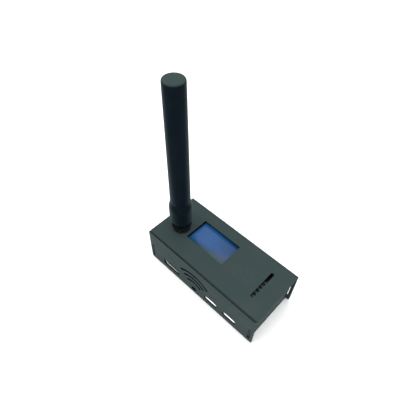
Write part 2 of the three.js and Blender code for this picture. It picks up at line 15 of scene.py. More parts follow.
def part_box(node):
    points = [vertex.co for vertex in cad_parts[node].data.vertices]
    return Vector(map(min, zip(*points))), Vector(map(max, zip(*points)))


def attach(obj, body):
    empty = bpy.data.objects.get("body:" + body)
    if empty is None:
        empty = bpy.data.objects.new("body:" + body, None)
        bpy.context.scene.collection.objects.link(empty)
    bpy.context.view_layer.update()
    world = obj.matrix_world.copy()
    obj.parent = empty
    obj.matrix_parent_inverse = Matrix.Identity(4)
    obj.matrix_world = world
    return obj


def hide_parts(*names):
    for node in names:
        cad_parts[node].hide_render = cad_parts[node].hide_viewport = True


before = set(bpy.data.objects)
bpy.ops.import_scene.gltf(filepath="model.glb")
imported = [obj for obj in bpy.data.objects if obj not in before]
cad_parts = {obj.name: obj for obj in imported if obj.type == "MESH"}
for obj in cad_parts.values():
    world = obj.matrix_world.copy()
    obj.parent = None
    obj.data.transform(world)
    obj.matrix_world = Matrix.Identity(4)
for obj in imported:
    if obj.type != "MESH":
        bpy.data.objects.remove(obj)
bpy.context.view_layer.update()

LOG = logging.getLogger("analyzer")
MM = 0.001
CORNER_ANGLE = math.radians(32)
FACET_ANGLE = math.radians(20)
Colour = tuple[float, float, float]
Point = tuple[float, float]
Array = np.ndarray


class Body(Enum):
    """Rigid bodies of the frame that a piece can ride on."""

    CASE = "case"
    CONTACT = "antenna_contact"
    ANTENNA = "antenna"
    CARD = "memory_card"
    LATCH = "camera_latch"


# ---------------------------------------------------------------- shader graphs


class Value:
    """One output socket or plain number that adds a Math node whenever it is used in arithmetic."""

    def __init__(self, graph: "Graph", source: object) -> None:
        """Keeps the graph and the socket or number."""
        self.graph = graph
        self.source = source

    def _math(self, operation: str, first: object, second: object) -> "Value":
        """Adds one Math node and returns its result."""
        node = self.graph.node("ShaderNodeMath", {"operation": operation}, {0: first, 1: second})
        return Value(self.graph, node.outputs[0])

    def __add__(self, other: object) -> "Value":
        """Sum."""
        return self._math("ADD", self, other)

    def __radd__(self, other: object) -> "Value":
        """Sum with the number first."""
        return self._math("ADD", other, self)

    def __sub__(self, other: object) -> "Value":
        """Difference."""
        return self._math("SUBTRACT", self, other)

    def __rsub__(self, other: object) -> "Value":
        """Difference with the number first."""
        return self._math("SUBTRACT", other, self)

    def __mul__(self, other: object) -> "Value":
        """Product."""
        return self._math("MULTIPLY", self, other)

    def __rmul__(self, other: object) -> "Value":
        """Product with the number first."""
        return self._math("MULTIPLY", other, self)

    def __abs__(self) -> "Value":
        """Size without its sign."""
        return self._math("ABSOLUTE", self, 0.0)

    def within(self, low: float, high: float) -> "Value":
        """1 between two numbers, else 0."""
        return (self > low) * (self < high)

    def __gt__(self, other: object) -> "Value":
        """1 where this is greater, else 0."""
        return self._math("GREATER_THAN", self, other)

    def __lt__(self, other: object) -> "Value":
        """1 where this is less, else 0."""
        return self._math("LESS_THAN", self, other)

    def ramp(self, low: float, high: float) -> "Value":
        """Goes smoothly from 0 at low to 1 at high, and is clamped outside."""
        node = self.graph.node("ShaderNodeMapRange", {"interpolation_type": "SMOOTHSTEP"},
                               {"Value": self, "From Min": low, "From Max": high})
        return Value(self.graph, node.outputs["Result"])


class Graph:
    """The node tree of one material, with its Principled shader."""

    def __init__(self, name: str) -> None:
        """Starts an empty material of that name."""
        self.material = bpy.data.materials.new(name)
        self.material.use_nodes = True
        self.tree = self.material.node_tree
        self.shader = self.tree.nodes["Principled BSDF"]

    def plug(self, socket: bpy.types.NodeSocket, value: object) -> None:
        """Links or sets one input socket.

        Args:
            socket: The input.
            value: A Value, an output socket, a number or a tuple.
        """
        source = value.source if isinstance(value, Value) else value
        if isinstance(source, bpy.types.NodeSocket):
            self.tree.links.new(source, socket)
        elif isinstance(source, tuple) and socket.type == "RGBA":
            socket.default_value = (*source, 1.0)
        else:
            socket.default_value = source

    def node(self, kind: str, settings: dict[str, object], inputs: dict[object, object]) -> bpy.types.Node:
        """Adds one node.

        Args:
            kind: The node's type name.
            settings: Its properties, set first.
            inputs: Its input sockets by name or number, each with a value or a link.

        Returns:
            The new node.
        """
        made = self.tree.nodes.new(kind)
        for key, value in settings.items():
            setattr(made, key, value)
        for key, value in inputs.items():
            self.plug(made.inputs[key], value)
        return made

    def place(self, scale: tuple[float, float, float] = (1.0, 1.0, 1.0)) -> bpy.types.NodeSocket:
        """Object coordinates, scaled.

        Args:
            scale: Factor on each axis.

        Returns:
            The vector output.
        """
        coordinates = self.node("ShaderNodeTexCoord", {}, {})
        inputs = {"Vector": coordinates.outputs["Object"], "Scale": scale}
        mapping = self.node("ShaderNodeMapping", {}, inputs)
        return mapping.outputs["Vector"]

    def axes(self) -> tuple[Value, Value, Value]:
        """The three object coordinates in metres, as numbers."""
        split = self.node("ShaderNodeSeparateXYZ", {}, {0: self.place()})
        return tuple(Value(self, split.outputs[i]) for i in range(3))

    def noise(self, scale: float, detail: float = 2.0, vector: object = None) -> Value:
        """Noise from 0 to 1 on object coordinates."""
        made = self.node("ShaderNodeTexNoise", {}, {"Vector": vector or self.place(), "Scale": scale,
                                                    "Detail": detail})
        return Value(self, made.outputs["Fac"])

    def cells(self, scale: float, metric: str, randomness: float, vector: object = None) -> Value:
        """Distance to the nearest cell centre."""
        made = self.node("ShaderNodeTexVoronoi", {"distance": metric},
                         {"Vector": vector or self.place(), "Scale": scale, "Randomness": randomness})
        return Value(self, made.outputs["Distance"])

    def mix(self, factor: object, first: object, second: object) -> bpy.types.NodeSocket:
        """Colour that goes from first at 0 to second at 1."""
        made = self.node("ShaderNodeMix", {"data_type": "RGBA"}, {0: factor, 6: first, 7: second})
        return made.outputs[2]

    def bump(self, height: Value, depth: float, before: object = None) -> bpy.types.NodeSocket:
        """Bumps the surface by a height from 0 to 1 times a depth in metres."""
        made = self.node("ShaderNodeBump", {}, {"Height": height, "Distance": depth, "Strength": 1.0})
        if before is not None:
            self.plug(made.inputs["Normal"], before)
        return made.outputs["Normal"]


@dataclass(frozen=True)
class Finish:
    """A surface: two close colours in soft patches, a roughness that varies, and a fine grain."""

    name: str
    colour: Colour
    second: Colour
    roughness: float
    spread: float = 0.06
    metallic: float = 0.0
    specular: float = 0.5
    coat: float = 0.0
    patch_scale: float = 120.0
    grain_scale: float = 5200.0
    grain_depth: float = 6e-6
    edge: float = 0.0
    edge_colour: Colour = (0.4, 0.42, 0.42)
    coat_roughness: float = 0.05
    edge_convexity: Point = (0.505, 0.56)
    wear_scale: float = 900.0

    def material(self) -> bpy.types.Material:
        """The Blender material of this finish, made once."""
        known = bpy.data.materials.get(self.name)
        return known or self._build()

    def _build(self) -> bpy.types.Material:
        """Builds the nodes."""
        graph = Graph(self.name)
        patches = graph.noise(self.patch_scale, 3.0)
        colour = self.paint(graph, patches)
        if self.edge > 0:
            colour = graph.mix(self._worn(graph) * self.edge, colour, self.edge_colour)
        graph.plug(graph.shader.inputs["Base Color"], colour)
        graph.plug(graph.shader.inputs["Roughness"], self.gloss(graph, patches))
        graph.plug(graph.shader.inputs["Normal"], self.relief(graph))
        graph.shader.inputs["Metallic"].default_value = self.metallic
        graph.shader.inputs["Specular IOR Level"].default_value = self.specular
        graph.shader.inputs["Coat Weight"].default_value = self.coat
        graph.shader.inputs["Coat Roughness"].default_value = self.coat_roughness
        return graph.material

    def _worn(self, graph: Graph) -> Value:
        """1 on convex edges where the coating is thin, broken up by noise."""
        geometry = graph.node("ShaderNodeNewGeometry", {}, {})
        convex = Value(graph, geometry.outputs["Pointiness"]).ramp(*self.edge_convexity)
        return convex * graph.noise(self.wear_scale, 3.0).ramp(0.35, 0.65)

    def paint(self, graph: Graph, patches: Value) -> bpy.types.NodeSocket:
        """Base colour: the two colours in soft patches."""
        return graph.mix(patches.ramp(0.3, 0.7), self.colour, self.second)

    def gloss(self, graph: Graph, patches: Value) -> Value:
        """Roughness: the middle value, spread by the patches and by a finer speckle."""
        fine = graph.noise(self.grain_scale * 0.4)
        return patches * self.spread + fine * self.spread + (self.roughness - self.spread)

    def relief(self, graph: Graph) -> bpy.types.NodeSocket:
        """Normal: the fine grain."""
        return graph.bump(graph.noise(self.grain_scale, 4.0), self.grain_depth)


@dataclass(frozen=True)
class PowderCoat(Finish):
    """Matte powder coat: fine pebbles with rare lighter specks, and painted shade that makes the cut edges
    nearly black.
    """

    pebble_scale: float = 2600.0
    pebble_depth: float = 9e-6
    # painted shade: nearly black colour for the sheet's cut thickness in openings and gaps
    painted_cut_shade: Colour = (0.004, 0.009, 0.01)
    sheet: float = 0.8 * MM
    margin: float = 0.1 * MM
    dust: Colour = (0.16, 0.18, 0.18)
    dust_scale: float = 700.0
    dust_size: float = 0.07
    dust_strength: float = 0.1

    def _painted_cut_shade_mask(self, graph: Graph) -> Value:
        """Mask of the painted shade: 1 inside the thickness of the near wall and of the top plate, away from
        both ends, else 0.
        """
        x, y, z = graph.axes()
        tray_low, tray_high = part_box("base_tray")
        inner = abs(tray_low.y) - self.sheet
        wall = y.within(tray_low.y + self.margin, -inner - self.margin) * (z > 2 * self.sheet)
        plate = z.within(tray_high.z - self.sheet + self.margin, tray_high.z - self.margin) * (abs(y) < inner)
        return (wall + plate) * (abs(x) < tray_high.x - self.sheet)

    def paint(self, graph: Graph, patches: Value) -> bpy.types.NodeSocket:
        """Base colour with rare specks of dust, and painted shade on the cut edges."""
        base = super().paint(graph, patches)
        specks = graph.cells(self.dust_scale, "EUCLIDEAN", 1.0) < self.dust_size
        dusty = graph.mix(specks * self.dust_strength, base, self.dust)
        # painted shade: the cut thickness of the sheet is made nearly black
        return graph.mix(self._painted_cut_shade_mask(graph), dusty, self.painted_cut_shade)

    def relief(self, graph: Graph) -> bpy.types.NodeSocket:
        """Pebbles of orange-peel size under the grain."""
        pebbles = graph.bump(graph.cells(self.pebble_scale, "EUCLIDEAN", 1.0), self.pebble_depth)
        return graph.bump(graph.noise(self.grain_scale, 3.0), self.grain_depth, pebbles)


@dataclass(frozen=True)
class Rubber(Finish):
    """Dark moulded rubber, with a painted sheen towards its outline and a painted highlight on its top."""

    # painted sheen: paler colour towards the outline, where the surface is seen at a grazing angle
    painted_sheen: Colour = (0.04, 0.062, 0.064)
    # painted highlight: lighter colour on the top of the whip, where light falls from above
    tip: Colour = (0.028, 0.046, 0.043)
    painted_sheen_start: float = 0.36
    tip_start: float = 0.9 * MM
    tip_full: float = 0.1 * MM

    def paint(self, graph: Graph, patches: Value) -> bpy.types.NodeSocket:
        """Base colour that goes to the painted sheen at grazing angles and to a lighter painted highlight at
        the top.
        """
        base = super().paint(graph, patches)
        # painted sheen: the base colour turns paler with the angle of view
        weight = graph.node("ShaderNodeLayerWeight", {}, {"Blend": 0.5})
        grazing = Value(graph, weight.outputs["Facing"]).ramp(self.painted_sheen_start, 1.0)
        sheen = graph.mix(grazing, base, self.painted_sheen)
        # painted highlight: the top of the whip is made lighter
        _, _, height = graph.axes()
        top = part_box("whip_cover")[1].z
        return graph.mix(height.ramp(top - self.tip_start, top - self.tip_full), sheen, self.tip)


@dataclass(frozen=True)
class Drawn(Finish):
    """Metal with fine lines along one axis, from rolling, drawing or turning."""

    along: tuple[float, float, float] = (1.0, 1.0, 30.0)

    def relief(self, graph: Graph) -> bpy.types.NodeSocket:
        """Lines stretched along the axis with the small factor."""
        return graph.bump(graph.noise(900.0, 4.0, graph.place(self.along)), self.grain_depth)


@dataclass(frozen=True)
class BoardMask(Finish):
    """Solder mask over copper: tracks, ground areas, vias and pads."""

    track: Colour = (0.02, 0.2, 0.07)
    pad: Colour = (0.75, 0.56, 0.24)
    track_scale: float = 420.0
    track_band: Point = (0.36, 0.46)
    via_scale: float = 330.0
    via_band: Point = (0.05, 0.13)
    copper_height: float = 1.5e-5

    def _tracks(self, graph: Graph) -> Value:
        """1 on the copper under the mask: edges of square cells."""
        return graph.cells(self.track_scale, "CHEBYCHEV", 0.75).within(*self.track_band)

    def paint(self, graph: Graph, patches: Value) -> bpy.types.NodeSocket:
        """Mask colour, lighter over tracks, with gilt via rings."""
        masked = graph.mix(self._tracks(graph), super().paint(graph, patches), self.track)
        rings = graph.cells(self.via_scale, "EUCLIDEAN", 0.55).within(*self.via_band)
        return graph.mix(rings, masked, self.pad)

    def relief(self, graph: Graph) -> bpy.types.NodeSocket:
        """Mask that stands higher over the tracks."""
        return graph.bump(self._tracks(graph), self.copper_height)


@dataclass(frozen=True)
class LitPanel(Finish):
    """Display glass over a lit blue panel, with painted light and shade: brightest at the far left and dark
    towards the near edge.

    The border and the fade's distances are in millimetres.
    """

    glow: Colour = (0.01, 0.066, 0.205)
    violet: Colour = (0.003, 0.034, 0.118)
    # painted shade colour of the near edge, also the colour of the dark rows
    shade: Colour = (0.003, 0.026, 0.03)
    border: float = 1.45
    border_colour: Colour = (0.003, 0.004, 0.005)
    violet_start: float = 6.0
    fade: Point = (3.6, 8.6)
    fade_slope: float = 0.1
    row_scale: float = 900.0
    row_strength: float = 0.08

    def paint(self, graph: Graph, patches: Value) -> bpy.types.NodeSocket:
        """Blue that turns a darker violet to the right as painted light, and fades to a painted shade at the
        near edge.
        """
        low, high = (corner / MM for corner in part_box("display_glass"))
        x, y, _ = (axis * (1 / MM) for axis in graph.axes())
        # painted light: the blue goes darker and more violet towards the right
        across = x.ramp(low.x + self.violet_start, high.x)
        # painted shade: the panel darkens to the shade colour towards the near edge
        depth = (y - x * self.fade_slope).ramp(low.y + self.fade[0], low.y + self.fade[1])
        blue = graph.mix(across, self.glow, self.violet)
        faded = graph.mix(depth, self.shade, blue)
        rows = graph.node("ShaderNodeTexWave", {"bands_direction": "Y"},
                          {"Vector": graph.place(), "Scale": self.row_scale, "Distortion": 0.0})
        lined = graph.mix(Value(graph, rows.outputs["Fac"]) * self.row_strength, faded, self.shade)
        lit = (x > low.x + self.border) * (x < high.x - self.border) * (y < high.y - self.border)
        return graph.mix(lit, self.border_colour, lined)


# ---------------------------------------------------------------- finishes

CASE_BLACK = PowderCoat("case_powder_coat", (0.029, 0.044, 0.044), (0.033, 0.048, 0.047), 0.5, 0.03,
                        specular=0.015, patch_scale=60.0, edge=0.1, edge_colour=(0.05, 0.075, 0.075))
RUBBER = Rubber("matte_rubber", (0.0018, 0.0052, 0.0085), (0.003, 0.0065, 0.0098), 0.6, 0.05, specular=0.02,
                patch_scale=160.0, grain_scale=3600.0, grain_depth=7e-6)
NUT_BLACK = Drawn("black_plated_nut", (0.004, 0.006, 0.008), (0.008, 0.01, 0.012), 0.4, 0.08, metallic=0.2,
                  specular=0.15, edge=0.5, edge_colour=(0.04, 0.045, 0.045), grain_depth=8e-6)
NICKEL = Drawn("bright_nickel", (0.86, 0.86, 0.85), (0.8, 0.8, 0.79), 0.2, 0.06, metallic=1.0,
               grain_depth=4e-6)
# painted shade: a darker copy of the nickel, so the video socket's shell looks dimmer
SHADED_NICKEL = Drawn("shaded_nickel", (0.26, 0.26, 0.26), (0.2, 0.2, 0.2), 0.34, 0.08, metallic=1.0,
                    grain_depth=5e-6)
TINNED = Drawn("tinned_sheet", (0.55, 0.56, 0.56), (0.48, 0.49, 0.49), 0.32, 0.08, metallic=1.0,
               along=(1.0, 25.0, 25.0))
GILT = Drawn("gilt", (0.83, 0.6, 0.24), (0.72, 0.5, 0.18), 0.24, 0.06, metallic=1.0)
BRASS = Drawn("turned_brass", (0.72, 0.54, 0.24), (0.6, 0.43, 0.17), 0.28, 0.08, metallic=1.0)
STEEL = Drawn("plated_steel", (0.52, 0.53, 0.54), (0.44, 0.45, 0.46), 0.3, 0.08, metallic=1.0)
CHIP = Finish("moulded_epoxy", (0.012, 0.012, 0.013), (0.02, 0.02, 0.021), 0.5, 0.08, grain_depth=1e-5)
PLASTIC = Finish("black_moulding", (0.006, 0.007, 0.008), (0.01, 0.011, 0.012), 0.45, 0.06, specular=0.2)
IVORY = Finish("ivory_moulding", (0.72, 0.68, 0.57), (0.64, 0.6, 0.5), 0.42, 0.06)
FLUOROPOLYMER = Finish("white_fluoropolymer", (0.82, 0.81, 0.77), (0.74, 0.73, 0.7), 0.45, 0.06)
# painted shade: both light colours are darkened to the shade under the slot in the top plate
LED_BODY = Finish("led_ceramic", (0.1, 0.14, 0.13), (0.07, 0.1, 0.095), 0.5, 0.06)
LED_RESIN = Finish("led_resin", (0.12, 0.16, 0.14), (0.06, 0.09, 0.08), 0.3, 0.04, coat=0.1)
CERAMIC = Finish("chip_ceramic", (0.3, 0.24, 0.17), (0.22, 0.18, 0.13), 0.5, 0.06)
GREEN_BOARD = BoardMask("green_board", (0.008, 0.1, 0.032), (0.006, 0.08, 0.026), 0.3, 0.05)
BLACK_BOARD = BoardMask("black_board", (0.009, 0.011, 0.012), (0.013, 0.015, 0.016), 0.3, 0.05,
                        track=(0.022, 0.027, 0.03))
PANEL = LitPanel("display_panel", (0.03, 0.06, 0.2), (0.03, 0.06, 0.2), 0.3, 0.02, specular=0.3, coat=0.1,
                 grain_depth=1e-6)


# ---------------------------------------------------------------- mesh building


def filled_mesh(name: str, points: Array, wrap_columns: bool = True, wrap_rows: bool = False,
                sharp: float = 40.0) -> bpy.types.Mesh:
    """Joins a grid of points into a closed mesh with outward faces.

    Vertex (i, j) of the grid is joined to its neighbours (i + 1, j) and (i, j + 1), and the last column
    to the first if wrapped. Points that coincide are merged, and an open rim is filled with one flat face.

    Args:
        name: The mesh's name.
        points: Grid of shape (rows, columns, 3) in metres.
        wrap_columns: Whether the last column meets the first.
        wrap_rows: Whether the last row meets the first.
        sharp: Angle in degrees from which an edge is shaded sharp.

    Returns:
        The mesh.
    """
    rows, columns = points.shape[:2]
    i = np.arange(rows if wrap_rows else rows - 1)[:, None]
    j = np.arange(columns if wrap_columns else columns - 1)[None, :]
    down, right = (i + 1) % rows, (j + 1) % columns
    corners = [i * columns + j, i * columns + right, down * columns + right, down * columns + j]
    quads = np.stack(corners, axis=-1)
    quads = quads.reshape(-1, 4).astype(np.int32)
    mesh = bpy.data.meshes.new(name)
    mesh.vertices.add(rows * columns)
    mesh.vertices.foreach_set("co", points.astype(np.float32).ravel())
    mesh.loops.add(quads.size)
    mesh.loops.foreach_set("vertex_index", quads.ravel())
    mesh.polygons.add(len(quads))
    mesh.polygons.foreach_set("loop_start", np.arange(0, quads.size, 4, dtype=np.int32))
    mesh.update(calc_edges=True)
    return close_mesh(mesh, sharp)


def close_mesh(mesh: bpy.types.Mesh, sharp: float) -> bpy.types.Mesh:
    """Merges coincident points, fills rims, turns faces outwards and shades smooth between sharp edges."""
    work = bmesh.new()
    work.from_mesh(mesh)
    bmesh.ops.remove_doubles(work, verts=work.verts, dist=1e-7)
    bmesh.ops.dissolve_degenerate(work, edges=work.edges, dist=1e-8)
    rims = [edge for edge in work.edges if edge.is_boundary]
    if rims:
        bmesh.ops.holes_fill(work, edges=rims, sides=0)
    bmesh.ops.recalc_face_normals(work, faces=work.faces)
    work.to_mesh(mesh)
    work.free()
    mesh.polygons.foreach_set("use_smooth", np.ones(len(mesh.polygons), dtype=bool))
    mesh.set_sharp_from_angle(angle=math.radians(sharp))
    mesh.update()
    return mesh


def rounded(corners: Sequence[Point], radius: float, steps: int = 4, closed: bool = False) -> Array:
    """Polyline whose corners are rounded.

    At a corner C with unit directions a and b to its neighbours, the arc is the quadratic curve from C + d a
    over C to C + d b, where d is the radius or less than half the shorter side.

    Args:
        corners: Points (u, v).
        radius: Distance from the corner at which the curve starts.
        steps: Segments of each curve.
        closed: Whether the last point joins the first.

    Returns:
        Array of shape (n, 2).
    """
    ring = np.asarray(corners, float)
    before, after = np.roll(ring, 1, axis=0), np.roll(ring, -1, axis=0)
    if not closed:
        before[0], after[-1] = ring[0], ring[-1]
    reach_a = np.linalg.norm(before - ring, axis=1, keepdims=True)
    reach_b = np.linalg.norm(after - ring, axis=1, keepdims=True)
    cut = np.minimum(radius, 0.45 * np.minimum(reach_a, reach_b))
    start = ring + (before - ring) / np.maximum(reach_a, 1e-12) * cut
    end = ring + (after - ring) / np.maximum(reach_b, 1e-12) * cut
    t = np.linspace(0.0, 1.0, steps + 1)[None, :, None]
    curve = (1 - t) ** 2 * start[:, None] + 2 * t * (1 - t) * ring[:, None] + t ** 2 * end[:, None]
    return curve.reshape(-1, 2)


def turned(profile: Array, centre: Point, columns: int = 96,
           swell: Callable[[Array, Array, Array], Array] | None = None) -> Array:
    """Surface turned about an upright axis.

    Point (i, j) is the centre plus r_i (cos t_j, sin t_j), at height z_i, with t_j going once round. A swell
    changes the radius to swell(r, z, t).

    Args:
        profile: Points (radius, height) in metres.
        centre: Place of the axis in metres.
        columns: Points round the axis.
        swell: Optional change of radius.

    Returns:
        Grid of shape (rows, columns, 3).
    """
    angle = np.linspace(0.0, 2 * np.pi, columns, endpoint=False)[None, :]
    radius, height = profile[:, :1], profile[:, 1:] + 0 * angle
    if swell is not None:
        radius = swell(radius, height, angle)
    return np.stack([centre[0] + radius * np.cos(angle), centre[1] + radius * np.sin(angle), height], axis=-1)


def block(low: Sequence[float], high: Sequence[float], radius: float, steps: int = 3) -> Array:
    """Block with rounded edges and corners, as a stretched sphere.

    A direction d on the unit sphere goes to centre + s (half - radius) + radius d, where s is the sign of d
    on each axis. Directions on the border of two octants are there twice, once with each sign, so the gaps
    between octants are the flat faces.

    Args:
        low: Lowest corner in metres.
        high: Highest corner in metres.
        radius: Edge radius in metres.
        steps: Segments of each quarter turn.

    Returns:
        Grid of shape (rows, columns, 3), open at its flat top and bottom.
    """
    low, high = np.asarray(low, float), np.asarray(high, float)
    half = (high - low) / 2 - radius
    quarter = np.linspace(0.0, np.pi / 2, steps + 1)
    turn = (quarter[None, :] + np.arange(4)[:, None] * np.pi / 2).ravel()
    sign_x = np.repeat([1, -1, -1, 1], steps + 1)
    sign_y = np.repeat([1, 1, -1, -1], steps + 1)
    rise = np.concatenate([quarter - np.pi / 2, quarter])
    sign_z = np.repeat([-1, 1], steps + 1)
    ring = np.cos(rise)[:, None]
    x = sign_x[None, :] * half[0] + radius * ring * np.cos(turn)[None, :]
    y = sign_y[None, :] * half[1] + radius * ring * np.sin(turn)[None, :]
    z = (sign_z * half[2] + radius * np.sin(rise))[:, None] + 0 * x
    return np.stack([x, y, z], axis=-1) + (low + high) / 2


def helix_tube(centre: Point, radius: float, wire: float, low: float, high: float, turns: float,
               columns: int = 10, per_turn: int = 28) -> Array:
    """Round wire along a helix.

    The path is (R cos a, R sin a, h) with the height h in proportion to the angle a. The wire's circle lies
    in the plane of the outward direction and the up direction at each point.

    Returns:
        Grid of shape (rows, columns, 3), open at both ends.
    """
    angle = np.linspace(0.0, 2 * np.pi * turns, int(turns * per_turn) + 1)[:, None]
    around = np.linspace(0.0, 2 * np.pi, columns, endpoint=False)[None, :]
    reach = radius + wire * np.cos(around)
    height = low + (high - low) * angle / angle[-1] + wire * np.sin(around)
    return np.stack([centre[0] + reach * np.cos(angle), centre[1] + reach * np.sin(angle), height], axis=-1)


def add_piece(name: str, mesh: bpy.types.Mesh, finish: Finish, body: Body,
              nodes: Iterable[str] = ()) -> bpy.types.Object:
    """Puts a mesh into the scene as one piece.

    Args:
        name: The piece's name.
        mesh: Its mesh, already in place.
        finish: Its surface.
        body: The body it rides on.
        nodes: CAD nodes it stands for.

    Returns:
        The piece.
    """
    piece = bpy.data.objects.new(name, mesh)
    bpy.context.scene.collection.objects.link(piece)
    mesh.materials.clear()
    mesh.materials.append(finish.material())
    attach(piece, body.value)
    if nodes:
        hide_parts(*nodes)
    return piece


def soften(node: str, name: str, finish: Finish, body: Body, width: float = 0.12 * MM,
           segments: int = 2) -> bpy.types.Object:
    """Stands a copy of a CAD node in its place, with merged points and small round edges.

    Args:
        node: The CAD node.
        name: The piece's name.
        finish: Its surface.
        body: The body it rides on.
        width: Width of the rounding in metres.
        segments: Segments of the rounding.

    Returns:
        The piece.
    """
    work = bmesh.new()
    work.from_mesh(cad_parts[node].data)
    bmesh.ops.remove_doubles(work, verts=work.verts, dist=2e-6)
    bmesh.ops.dissolve_limit(work, angle_limit=math.radians(1.5), verts=work.verts, edges=work.edges)
    corners = [edge for edge in work.edges if edge.calc_face_angle(0.0) > CORNER_ANGLE]
    bmesh.ops.bevel(work, geom=corners, offset=width, segments=segments, profile=0.5, affect="EDGES",
                    clamp_overlap=True)
    bmesh.ops.recalc_face_normals(work, faces=work.faces)
    mesh = bpy.data.meshes.new(name)
    work.to_mesh(mesh)
    work.free()
    mesh.polygons.foreach_set("use_smooth", np.ones(len(mesh.polygons), dtype=bool))
    mesh.set_sharp_from_angle(angle=FACET_ANGLE)
    return add_piece(name, mesh, finish, body, [node])


def centre_of(node: str) -> Point:
    """Middle of a node's box, seen from above, in metres."""
    low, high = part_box(node)
    return ((low.x + high.x) / 2, (low.y + high.y) / 2)


def block_mesh(name: str, low: Sequence[float], high: Sequence[float], radius: float,
               steps: int = 3) -> bpy.types.Mesh:
    """Closed mesh of a rounded block."""
    return filled_mesh(name, block(low, high, radius, steps))


# ---------------------------------------------------------------- sub-assemblies


@dataclass
class SheetCase:
    """Folded tray, top plate and two end plates of coated sheet."""

    rounding: float = 0.14 * MM
    sheet: float = 0.8 * MM
    gap: float = 0.33 * MM
    gap_growth: float = 0.15 * MM
    shade_strip_drop: float = 0.03 * MM
    shade_strip_height: float = 0.4 * MM

    def _gap_shade_strip(self) -> None:
        """Black strip in the gap between the near wall and the top plate: a dark piece that paints the shade
        in the gap.

        A rounded block whose far face is moved out in proportion to x, because the gap grows to the right.
        """
        low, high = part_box("top_plate")
        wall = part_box("base_tray")[0].y + self.sheet
        clear = 0.3 * MM
        grid = block((low.x + clear, wall, high.z - self.shade_strip_drop - self.shade_strip_height),
                     (high.x - clear, wall + self.gap, high.z - self.shade_strip_drop), 0.04 * MM)
        along = (grid[..., 0] - low.x) / (high.x - low.x)
        grid[..., 1] += np.where(grid[..., 1] > wall + self.gap / 2, self.gap_growth * along, 0.0)
        # painted shade: a dark piece placed where the gap is in shade
        add_piece("lid_gap_shade_strip", filled_mesh("lid_gap_shade_strip", grid), PLASTIC, Body.CASE)

    def build(self) -> None:
        """Builds the four sheet pieces and the black strip of painted shade in the gap."""
        names = {"base_tray": "tray_shell", "top_plate": "lid_plate", "left_end_plate": "end_plate_left",
                 "right_end_plate": "end_plate_right"}
        for node, name in names.items():
            soften(node, name, CASE_BLACK, Body.CASE, self.rounding)
        self._gap_shade_strip()


@dataclass
class StackHardware:
    """Spacers, standoffs and screws that hold the stack."""

    count: int = 4

    def build(self) -> None:
        """Builds each fastener with softened edges."""
        for i in range(1, self.count + 1):
            soften(f"lower_spacer_{i}", f"spacer_{i}", IVORY, Body.CASE)
            soften(f"standoff_{i}", f"hex_standoff_{i}", BRASS, Body.CASE, 0.15 * MM)
            soften(f"bottom_screw_{i}", f"sunk_screw_{i}", NUT_BLACK, Body.CASE, 0.06 * MM)
            soften(f"board_screw_{i}", f"pan_screw_{i}", STEEL, Body.CASE, 0.08 * MM)


@dataclass
class PortSocket:
    """One metal socket shell with flared lips, and the tongue inside it."""

    node: str
    name: str
    chamfer: float = 0.7 * MM
    wall: float = 0.28 * MM
    flare: float = 0.24 * MM
    edge: float = 0.08 * MM
    lip_length: float = 0.65 * MM
    lip_drop: float = 0.25 * MM
    lip_rise: float = 0.3 * MM
    # bed: black moulding that also stands as painted shade on the shell's floor
    bed_start: float = 0.8 * MM
    bed_height: float = 0.25 * MM
    finish: Finish = NICKEL

    def _section(self) -> Array:
        """Outline of the shell seen from its mouth: a wide shape with its lower corners cut off."""
        low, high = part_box(self.node)
        base, top = low.z + self.lip_drop, high.z - self.lip_rise
        corners = [(low.x + self.chamfer, base), (high.x - self.chamfer, base), (high.x, base + self.chamfer),
                   (high.x, top), (low.x, top), (low.x, base + self.chamfer)]
        return rounded(corners, 0.35 * MM, 4, closed=True)

    def _shell(self) -> Array:
        """Surface that runs from the closed back along the outside, over the lip and back along the inside.

        Each row is the section stretched from its centre until its sides have moved out by an offset, at a
        depth y. The offset is the flare at the mouth, and minus the wall on the inside.
        """
        low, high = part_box(self.node)
        section = self._section()
        middle = (section.min(0) + section.max(0)) / 2
        half = (section.max(0) - section.min(0)) / 2
        front, back = low.y, high.y
        lip = front + self.lip_length
        path = [(-half[1], back), (0.0, back), (0.0, lip), (self.flare, front),
                (self.flare - self.edge, front), (-self.wall, lip), (-self.wall, back - self.wall),
                (-half[1], back - self.wall)]
        offset, y = np.array(path).T[:, :, None]
        points = middle + (section[None] - middle) * (1 + offset[..., None] / half)
        return np.stack([points[..., 0], y + 0 * points[..., 0], points[..., 1]], axis=-1)

    def build(self) -> None:
        """Builds the shell and the tongue."""
        mesh = filled_mesh(self.name, self._shell())
        add_piece(self.name, mesh, self.finish, Body.CASE, [self.node])
        self._bed()
        tongue = self.node.replace("shell", "tongue")
        soften(tongue, self.name.replace("shell", "tongue"), PLASTIC, Body.CASE, 0.1 * MM)
        low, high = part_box(tongue)
        self._contacts(low, high)

    def _bed(self) -> None:
        """Black moulding on the floor of the shell, set back from its mouth; it also paints the shade inside
        the socket.
        """
        low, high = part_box(self.node)
        side = self.chamfer + self.wall
        floor = low.z + self.lip_drop + 0.8 * self.wall
        name = self.name.replace("shell", "bed")
        mesh = block_mesh(name, (low.x + side, low.y + self.bed_start, floor),
                          (high.x - side, high.y - 2 * self.wall, floor + self.bed_height), 0.05 * MM)
        add_piece(name, mesh, PLASTIC, Body.CASE)

    def _contacts(self, low: Vector, high: Vector) -> None:
        """Gilt strips on the tongue, side by side."""
        count = 5
        pitch = (high.x - low.x) / count
        grids = [block((low.x + (i + 0.28) * pitch, low.y - 0.03 * MM, high.z - 0.03 * MM),
                       (low.x + (i + 0.72) * pitch, high.y - 0.6 * MM, high.z + 0.07 * MM), 0.03 * MM, 1)
                 for i in range(count)]
        add_joined(self.name.replace("shell", "contacts"), grids, GILT, Body.CASE)


